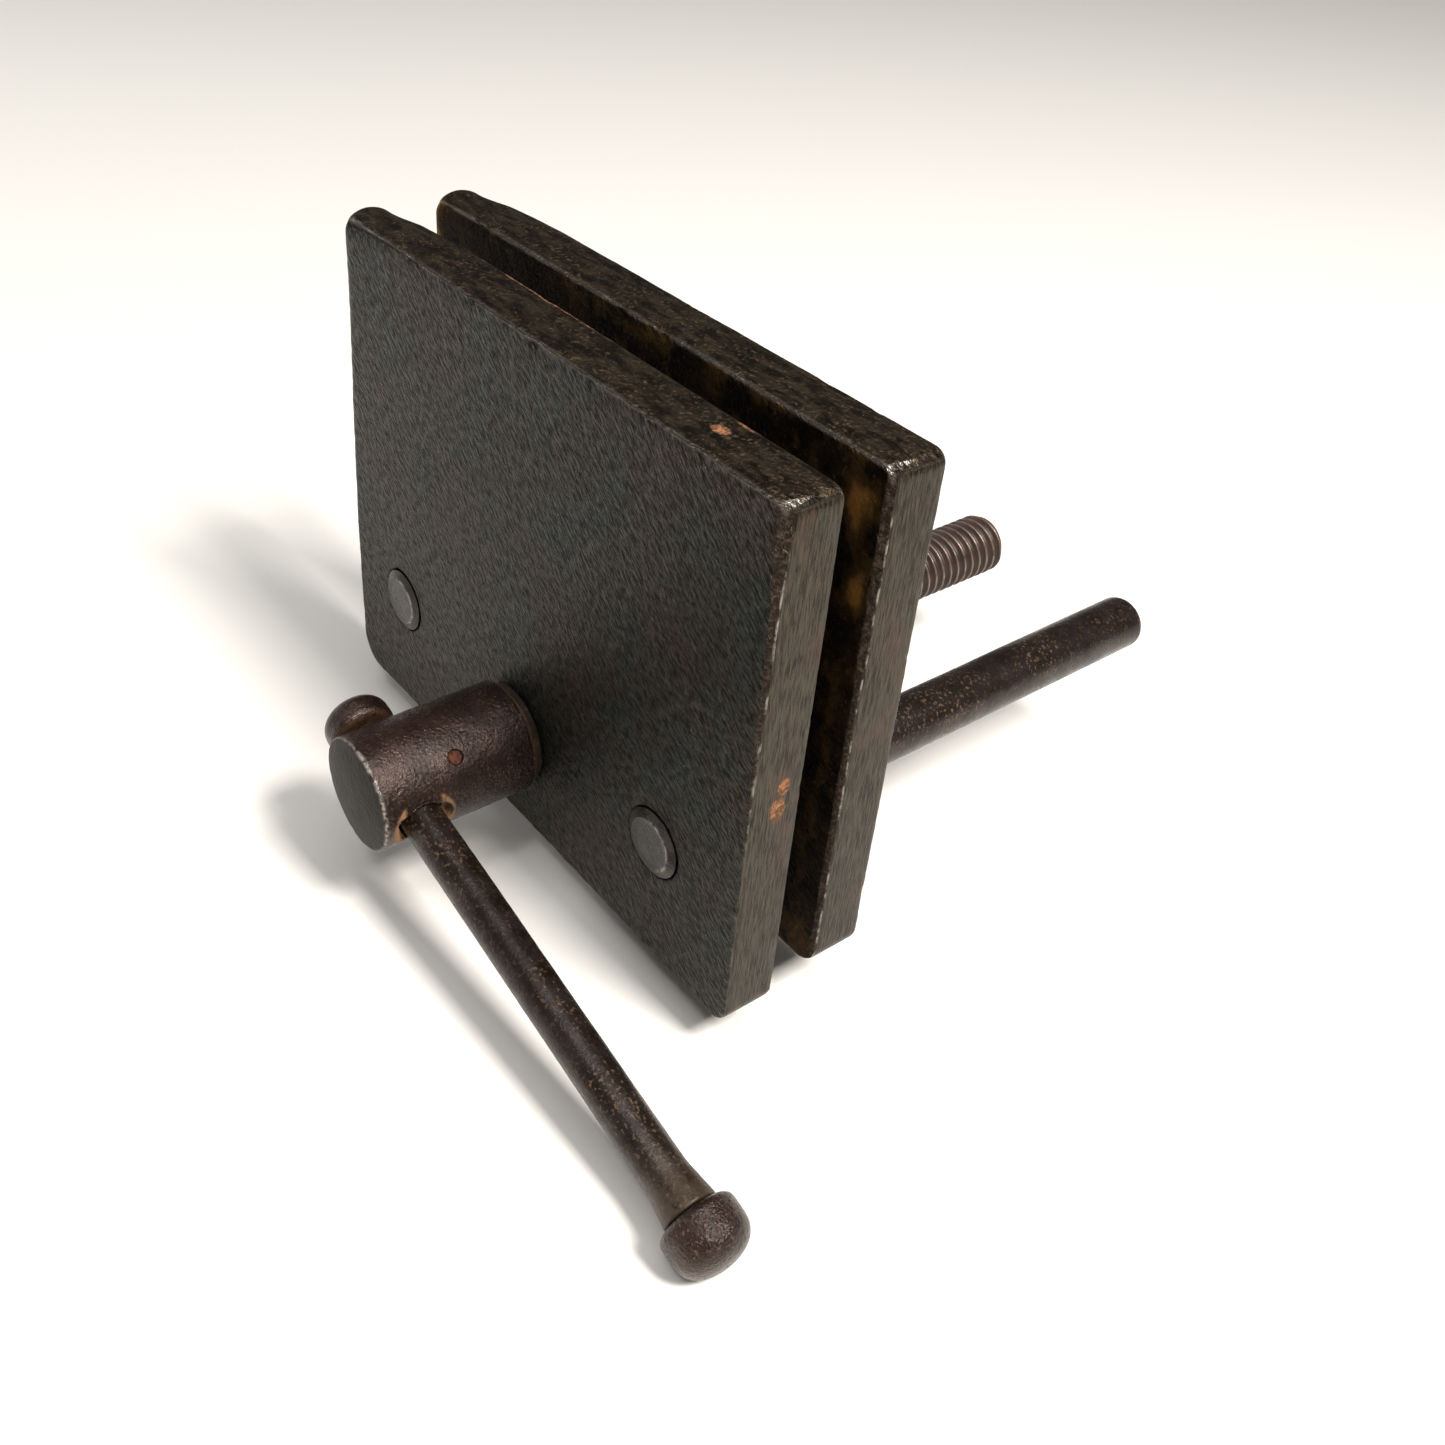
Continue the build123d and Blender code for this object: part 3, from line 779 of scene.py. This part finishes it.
# Rust spots: place and size in millimetres, and strength.
FRONT_RUST = [
    ((49.5, -28, 60), (2.4, 1.5, 2), 1.1),
    ((52, -23.6, 60), (7, 0.9, 2), 0.7),
    ((-10, -23.2, 59.6), (34, 0.8, 1.6), 0.75),
    ((75, -27.5, 0), (2, 1.5, 2.4), 1.0),
    ((75, -28.5, -5), (2, 2.0, 3.2), 1.1),
    ((75, -33, -20), (2, 1.2, 20), 0.3),
    ((-1.5, -36, -22), (12, 2, 6), 0.3),
]
REAR_RUST = [
    ((-71, -13, 50), (5, 2, 13), 1.1),
    ((69, -13, 50), (4.5, 2, 6), 1.2),
    ((70, -13, 34), (3.2, 2, 5), 1.15),
    ((60, -13, 56), (18, 2, 6), 0.3),
    ((69, -13, -20), (2, 2, 26), 0.35),
    ((-10, -13.4, 57), (60, 0.9, 1.8), 0.4),
    ((40, -13.2, 58.6), (16, 0.8, 1.4), 0.75),
    ((68, -13, -49), (5, 2, 5), 0.7),
]

front_mesh = wear_plate("front_jaw", -1, 1, front_strip, FRONT_RUST)
show("front_jaw_plate", front_mesh, "front_jaw", JAW, "jaw_plate", "front_jaw")
rear_mesh = wear_plate("rear_jaw", 1, -1, rear_strip, REAR_RUST)
show("rear_jaw_plate", rear_mesh, "rear_jaw", JAW, "jaw_plate", "rear_jaw")


# ---------------------------------------------------------------- turned pieces

def tone_values(mesh, wear_and_highlight=None, rust=None):
    """Wear with painted highlights, and rust, per vertex, from functions of the points, or none."""
    points = coordinates(mesh)
    none = np.zeros(len(points))
    add_value(mesh, "wear_and_highlight", none if wear_and_highlight is None else np.clip(wear_and_highlight(points), 0, 1))
    add_value(mesh, "rust", none if rust is None else np.clip(rust(points), 0, 1))


def handled_relief(seed, dent=0.16, pit=0.035):
    """Relief of a hand-worn bar: slow dents and small pits, always below the plain surface."""
    def relief(along, radius, angle, points):
        slow = layered_noise(points, 13 * MM, seed)
        small = layered_noise(points, 2.2 * MM, seed + 5)
        return (dent * (slow - 1) * 0.5 + pit * (small - 1)) * MM
    return relief


Y_AXIS = (0, 1, 0)
ROD_RADIUS = 6.5 * MM
RIVET_RADIUS = 8.0 * MM
RIVET_TOP_RADIUS = 5.8 * MM
RIVET_DEPTH = 2.6 * MM


def guide_rod(node, seed):
    """Rod with its peened head: a dished disc inside a chamfered rim."""
    low, high = (Vector(corner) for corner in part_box(node))
    centre = (low + high) / 2
    length = high.y - low.y
    proud = FRONT_FACE_Y - low.y
    outline = rounded_outline(
        [
            (0.22 * MM, 0, 0),
            (0.16 * MM, 4.6 * MM, 2 * MM),
            (0.0, RIVET_TOP_RADIUS, 0.3 * MM),
            (proud + 0.1 * MM, RIVET_RADIUS - 0.25 * MM, 0.15 * MM),
            (proud + RIVET_DEPTH, ROD_RADIUS, 0.5 * MM),
            (length - 0.3 * MM, ROD_RADIUS, 2.4 * MM),
            (length, 3.4 * MM, 2 * MM),
            (length, 0, 0),
        ],
        0.4 * MM,
    )
    origin = (centre.x, low.y, centre.z)
    mesh = turned_mesh(node, outline, origin, Y_AXIS, 96, handled_relief(seed, 0.12, 0.025))
    points = coordinates(mesh)
    peened = step(points[:, 1], low.y + 1.3 * MM, low.y + 1.0 * MM)
    add_value(mesh, "peened", peened * (1 - 0.85 * ring(points, centre, 6.9 * MM, 0.75 * MM)))
    # Bright line on the right side of the rivet's rim: partly wear, partly a painted highlight where the
    # edge faces the light.
    slanted = points[:, 0] + 0.4 * points[:, 2]
    middle = centre.x + 0.4 * centre.z
    right_side = step(slanted, middle, middle + 4 * MM)
    rim = ring(points, centre, RIVET_TOP_RADIUS - 0.15 * MM, 0.24 * MM)
    tone_values(mesh, lambda _: 0.9 * right_side * peened * rim)
    return mesh


def ring(points, centre, radius, width):
    """1 on a circle about the Y line through centre, fading to 0 over width."""
    away = np.hypot(points[:, 0] - centre.x, points[:, 2] - centre.z)
    return np.exp(-(((away - radius) / width) ** 2))


for side, seed in (("left", 21), ("right", 31)):
    node = "guide_rod_" + side
    show(node + "_steel", guide_rod(node, seed), "front_jaw", ROD, "rod", node)


def bar_outline(places, step_length):
    """Outline from (along, radius, rounding) places in millimetres."""
    return rounded_outline([(a * MM, r * MM, q * MM) for a, r, q in places], step_length * MM)


def along_bar(points):
    """How far down the bar each point lies from where the bar crosses the screw's axis."""
    return (points - np.array(BAR_ORIGIN)) @ np.array(BAR_DOWN)


def from_bar_line(points):
    """How far down the bar each point lies, and its offset from the bar's centre line."""
    reach = along_bar(points)
    foot = np.array(BAR_ORIGIN) + reach[:, None] * np.array(BAR_DOWN)
    return reach, points - foot


def tommy_bar():
    """Bar that swells at its low end, with a spigot in each knob."""
    outline = bar_outline(
        [
            (-18.6, 0, 0),
            (-18.6, 2.9, 0.3),
            (-13.2, 2.9, 0.3),
            (-13.2, 4.7, 0.5),
            (100.5, 4.72, 12),
            (108.0, 5.75, 0.6),
            (108.1, 2.9, 0.3),
            (113.6, 2.9, 0.3),
            (113.6, 0, 0),
        ],
        0.42,
    )
    mesh = turned_mesh("tommy_bar", outline, BAR_ORIGIN, tuple(BAR_DOWN), 76, handled_relief(41, 0.14))
    tone_values(mesh, None, lambda p: 0.3 * step(along_bar(p), 92 * MM, 107 * MM))
    return mesh


KNOB_ROUNDNESS = 0.85


def bar_knob(node, start, length, radius, side, seed):
    """Mushroom knob: flat shoulder with a rounded rim, a short side and a full dome."""
    waist = start + side * length * 0.42
    dome = [(start, 0, 0), (start, radius, 1.8), (waist, radius, 0)]
    for k in range(1, 16):
        turn = math.pi / 2 * k / 15
        rise, reach = math.sin(turn) ** KNOB_ROUNDNESS, math.cos(turn) ** KNOB_ROUNDNESS
        dome.append((waist + side * length * 0.58 * rise, radius * reach, 0))
    outline = bar_outline(dome, 0.26)
    if side < 0:
        outline = outline[::-1]
    mesh = turned_mesh(node, outline, BAR_ORIGIN, tuple(BAR_DOWN), 150, handled_relief(seed, 0.14, 0.05))
    move_to(mesh, np.clip(coordinates(mesh), *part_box(node)))
    return mesh


show("tommy_bar_steel", tommy_bar(), "bar", ROD, "rod", "tommy_bar")
lower_knob = bar_knob("bar_knob_lower", 108.2, 10.6, 8.0, 1, 51)
tone_values(lower_knob)
show("bar_knob_lower_steel", lower_knob, "bar", HEAD, "forged_head", "bar_knob_lower")
upper_knob = bar_knob("bar_knob_upper", -13.2, 8.2, 7.7, -1, 61)
tone_values(upper_knob, None, lambda p: 0.2 * step(along_bar(p), -14.4 * MM, -13.3 * MM))
show("bar_knob_upper_steel", upper_knob, "bar", HEAD, "forged_head", "bar_knob_upper")


# ---------------------------------------------------------------- lead screw

JOURNAL_RADIUS = 6.5 * MM
THREAD_RADIUS = 8.0 * MM
THREAD_DEPTH = 1.15 * MM
CREST_WIDTH = 0.26 * MM
THREAD_START = -22.8 * MM
SCREW_END_RADIUS = 2.0 * MM
RINGS_PER_PITCH = 18
THREAD_SEGMENTS = 96


def thread_radius(y, angle):
    """Radius of the right-hand thread, and how near each place is to its crest."""
    phase = (y / PITCH + angle / (2 * math.pi)) % 1
    from_crest = np.minimum(phase, 1 - phase) * PITCH
    slope = np.clip((from_crest - CREST_WIDTH / 2) / (PITCH / 2 - CREST_WIDTH / 2), 0, 1)
    radius = THREAD_RADIUS - THREAD_DEPTH * np.sin(slope * math.pi / 2)
    return radius, 1 - step(slope, 0.0, 0.15)


def lead_screw():
    """Plain journal, thread and rounded end."""
    low, high = (Vector(corner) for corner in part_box("lead_screw"))
    end = high.y
    plain = np.linspace(low.y, THREAD_START, 40)
    count = round((end - THREAD_START) / PITCH * RINGS_PER_PITCH)
    threaded = np.linspace(THREAD_START, end, count)[1:]
    y = np.concatenate([plain, threaded])[:, None]
    angle = np.linspace(0, 2 * math.pi, THREAD_SEGMENTS, endpoint=False)[None, :]
    radius, crest = thread_radius(y, angle)
    run_in = step(y, THREAD_START, THREAD_START + PITCH)
    started = JOURNAL_RADIUS + (radius - JOURNAL_RADIUS) * run_in
    radius = np.where(y <= THREAD_START, JOURNAL_RADIUS, started)
    into_end = np.clip(y - (end - SCREW_END_RADIUS), 0, SCREW_END_RADIUS)
    rounded = THREAD_RADIUS - SCREW_END_RADIUS + np.sqrt(SCREW_END_RADIUS**2 - into_end**2)
    crest = crest * run_in * (rounded > radius - 0.2 * MM)
    radius = np.minimum(radius, rounded)
    flat = np.stack(
        [
            SCREW_CENTRE.x + radius * np.cos(angle),
            np.broadcast_to(y, radius.shape),
            SCREW_CENTRE.z + radius * np.sin(angle),
        ],
        axis=-1,
    ).reshape(-1, 3)
    spokes = (flat - np.array((SCREW_CENTRE.x, 0, SCREW_CENTRE.z))) * np.array((1, 0, 1))
    rough = 0.03 * MM * (smooth_noise(flat, 2.5 * MM, 71) - 1)
    flat = flat + rough[:, None] * spokes / THREAD_RADIUS
    end_rings = [(end, share) for share in (0.75, 0.5, 0.25)]
    inner = radius[-1].min()
    caps = []
    for place, share in end_rings:
        caps.append(
            np.stack(
                [
                    SCREW_CENTRE.x + inner * share * np.cos(angle[0]),
                    np.full(THREAD_SEGMENTS, place),
                    SCREW_CENTRE.z + inner * share * np.sin(angle[0]),
                ],
                axis=-1,
            )
        )
    ends = [(SCREW_CENTRE.x, low.y, SCREW_CENTRE.z), (SCREW_CENTRE.x, end, SCREW_CENTRE.z)]
    vertices = np.concatenate([flat, *caps, ends])
    mesh = closed_tube("lead_screw", vertices, THREAD_SEGMENTS, turned_round=True)
    crest_values = np.zeros(len(vertices))
    crest_values[: crest.size] = crest.ravel()
    add_value(mesh, "crest", crest_values)
    tone_values(mesh, None, lambda p: 0.4 * step(p[:, 1], end - 4 * MM, end))
    return mesh


show("lead_screw_thread", lead_screw(), "screw", THREAD, "thread", "lead_screw")


# ---------------------------------------------------------------- screw head and small rings

def carved(node, voxel, smoothing, dent, pit, seed, wear_and_highlight=None, rust=None, reshape=None):
    """Dense copy of a CAD node with dents and pits, all of them below the plain surface."""
    mesh = remeshed_copy(node, voxel, smoothing)
    if reshape is not None:
        move_to(mesh, reshape(coordinates(mesh)))
    points, out = coordinates(mesh), normals(mesh)
    slow = layered_noise(points, 9 * MM, seed)
    small = layered_noise(points, 1.5 * MM, seed + 3)
    height = (dent * (slow - 1) * 0.5 + pit * (small - 1)) * MM
    move_to(mesh, points + out * height[:, None])
    tone_values(mesh, wear_and_highlight, rust)
    return mesh


HEAD_LOW, HEAD_HIGH = (Vector(corner) for corner in HEAD_BOX)
HEAD_RADIUS = (HEAD_HIGH.x - HEAD_LOW.x) / 2
HEAD_RIM_Y = HEAD_LOW.y + 1.6 * MM


def head_rim_wear_and_highlight(points):
    """Bare metal on the hub's front rim, more of it to the right: partly wear, partly a painted highlight
    on the lit side.
    """
    rim = ring(points, SCREW_CENTRE, HEAD_RADIUS - 0.1 * MM, 0.45 * MM)
    to_the_right = 0.35 + 0.65 * step(points[:, 0] - SCREW_CENTRE.x, -4 * MM, 6 * MM)
    from_rim = points[:, 1] - HEAD_RIM_Y - 0.3 * MM
    return 0.9 * to_the_right * rim * np.exp(-((from_rim / (0.42 * MM)) ** 2))


def head_rust(points):
    """Peach rust on the hub's rear rim and in the scoops beside the bar."""
    rear = 0.8 * step(points[:, 1], HEAD_HIGH.y - 1.0 * MM, HEAD_HIGH.y - 0.5 * MM)
    reach, spoke = from_bar_line(points)
    from_bar = np.linalg.norm(spoke, axis=1)
    mouth = step(from_bar, 7.6 * MM, 6.9 * MM) * step(np.abs(reach), 9 * MM, 10.5 * MM)
    mouth *= step(np.abs(points[:, 1] - BAR_ORIGIN[1]), 3.8 * MM, 4.9 * MM)
    return np.maximum(rear, 1.2 * mouth)


BORE_RADIUS = 4.9 * MM
BORE_EDGE_REACH = 0.9 * MM


def tight_bore(points):
    """Draws the softened edge and wall of the cross bore back in, close round the bar."""
    _, spoke = from_bar_line(points)
    radius = np.linalg.norm(spoke, axis=1)
    loose = np.clip(radius - BORE_RADIUS, 0, None)
    drawn = loose * (1 - step(loose, 0.4 * BORE_EDGE_REACH, BORE_EDGE_REACH))
    pull = np.where(loose < BORE_EDGE_REACH, drawn, 0)
    return points - spoke * (pull / np.maximum(radius, MM))[:, None]


head_mesh = carved("screw_head", 0.3 * MM, 2, 0.18, 0.07, 81, head_rim_wear_and_highlight, head_rust, tight_bore)
# Painted shade: darkens the head's end facing away from the jaws, picked by facing alone.
add_value(head_mesh, "painted_head_end_shade", 0.75 * step(-normals(head_mesh)[:, 1], 0.55, 0.9))
show("screw_head_steel", head_mesh, "screw", HEAD, "forged_head", "screw_head")
washer_mesh = carved("thrust_washer", 0.25 * MM, 2, 0.05, 0.02, 91, None, lambda p: 0.25 + 0 * p[:, 0])
show("thrust_washer_steel", washer_mesh, "screw", ROD, "rod", "thrust_washer")
collar_mesh = carved("keeper_collar", 0.3 * MM, 2, 0.08, 0.03, 95)
show("keeper_collar_steel", collar_mesh, "screw", ROD, "rod", "keeper_collar")


def cross_pin(node, radius, axis, seed):
    """Pin with slightly domed, peened ends, along an axis through the middle of its node."""
    low, high = (Vector(corner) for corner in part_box(node))
    centre = (low + high) / 2
    half = (0.5 * (high - low)).dot(Vector([abs(a) for a in axis]))
    half -= radius * sum(abs(a) * math.sqrt(max(0, 1 - a * a)) for a in axis)
    outline = rounded_outline(
        [
            (-half + 0.02 * MM, 0, 0),
            (-half + 0.05 * MM, radius * 0.97, radius * 0.3),
            (half - 0.05 * MM, radius * 0.97, radius * 0.3),
            (half - 0.02 * MM, 0, 0),
        ],
        0.15 * MM,
    )
    mesh = turned_mesh(node, outline, tuple(centre), axis, 48, handled_relief(seed, 0.03, 0.02))
    tone_values(mesh)
    return mesh


HEAD_PIN_ANGLE = math.radians(42)
head_pin_axis = (math.cos(HEAD_PIN_ANGLE), 0, math.sin(HEAD_PIN_ANGLE))
head_pin_mesh = cross_pin("head_pin", 1.75 * MM, head_pin_axis, 101)
show("head_pin_end", head_pin_mesh, "screw", PIN, "pin", "head_pin")
collar_pin_mesh = cross_pin("collar_pin", 1.25 * MM, (0, 0, 1), 111)
show("collar_pin_end", collar_pin_mesh, "screw", PIN, "pin", "collar_pin")


# ---------------------------------------------------------------- stage, light and camera

def look_back(azimuth, elevation):
    """Direction from the object to a place at that azimuth and elevation in degrees."""
    a, e = math.radians(azimuth), math.radians(elevation)
    return Vector((math.sin(a) * math.cos(e), -math.cos(a) * math.cos(e), math.sin(e)))


def area_light(name, azimuth, elevation, distance, size, power, colour):
    """Square soft light that faces the object."""
    back = look_back(azimuth, elevation)
    data = bpy.data.lights.new(name, "AREA")
    data.shape = "SQUARE"
    data.size = size
    data.energy = power
    data.color = colour
    light = bpy.data.objects.new(name, data)
    bpy.context.scene.collection.objects.link(light)
    light.location = back * distance
    light.rotation_mode = "QUATERNION"
    light.rotation_quaternion = back.to_track_quat("Z", "Y")


def make_stage():
    reach, lowest = 12.0, cad_box[0][2]
    mesh = bpy.data.meshes.new("floor")
    corners = [(x * reach, y * reach, lowest) for x, y in ((-1, -1), (1, -1), (1, 1), (-1, 1))]
    mesh.from_pydata(corners, [], [(0, 1, 2, 3)])
    floor = bpy.data.objects.new("floor", mesh)
    bpy.context.scene.collection.objects.link(floor)
    paper = bpy.data.materials.new("paper")
    paper.use_nodes = True
    paper.node_tree.nodes["Principled BSDF"].inputs["Base Color"].default_value = (0.87, 0.85, 0.82, 1)
    paper.node_tree.nodes["Principled BSDF"].inputs["Roughness"].default_value = 0.95
    mesh.materials.append(paper)


def make_world():
    world = bpy.data.worlds.new("studio")
    world.use_nodes = True
    world.node_tree.nodes["Background"].inputs["Color"].default_value = (1, 0.97, 0.93, 1)
    world.node_tree.nodes["Background"].inputs["Strength"].default_value = 0.12
    bpy.context.scene.world = world
    bpy.context.scene.view_settings.view_transform = "Standard"


CAMERA_AZIMUTH = 52.51
CAMERA_ELEVATION = 35.97
CAMERA_ROLL = 3.04
CAMERA_DISTANCE = 0.320
CAMERA_TARGET = (0.00904, -0.0155, -0.01448)
CAMERA_LENS = 36.93
CAMERA_SHIFT = (0.0709, -0.0518)


def make_camera():
    back = look_back(CAMERA_AZIMUTH, CAMERA_ELEVATION)
    data = bpy.data.cameras.new("camera")
    data.sensor_width = 36
    data.lens = CAMERA_LENS
    data.shift_x, data.shift_y = CAMERA_SHIFT
    data.clip_start, data.clip_end = 0.01, 100
    camera = bpy.data.objects.new("camera", data)
    bpy.context.scene.collection.objects.link(camera)
    camera.location = Vector(CAMERA_TARGET) + back * CAMERA_DISTANCE
    level = (-back).to_track_quat("-Z", "Y")
    roll = Matrix.Rotation(math.radians(CAMERA_ROLL), 3, back).to_quaternion()
    camera.rotation_mode = "QUATERNION"
    camera.rotation_quaternion = roll @ level
    bpy.context.scene.camera = camera


make_stage()
make_world()
make_camera()
# Name, azimuth and elevation in degrees, distance and size in metres, watts and colour.
LIGHTS = [
    ("overhead", 60, 80, 1.6, 1.3, 10, (1, 1, 1)),
    ("key", 99, 53, 1.2, 0.26, 21, (1, 0.96, 0.9)),
    ("spark", 35, 60, 1.2, 0.16, 2, (1, 0.97, 0.93)),
    ("front", -30, 10, 1.4, 0.4, 1.3, (0.93, 0.96, 1)),
    ("rake", -62, 24, 1.3, 0.3, 3.2, (1, 0.97, 0.93)),
]
for light in LIGHTS:
    area_light(*light)
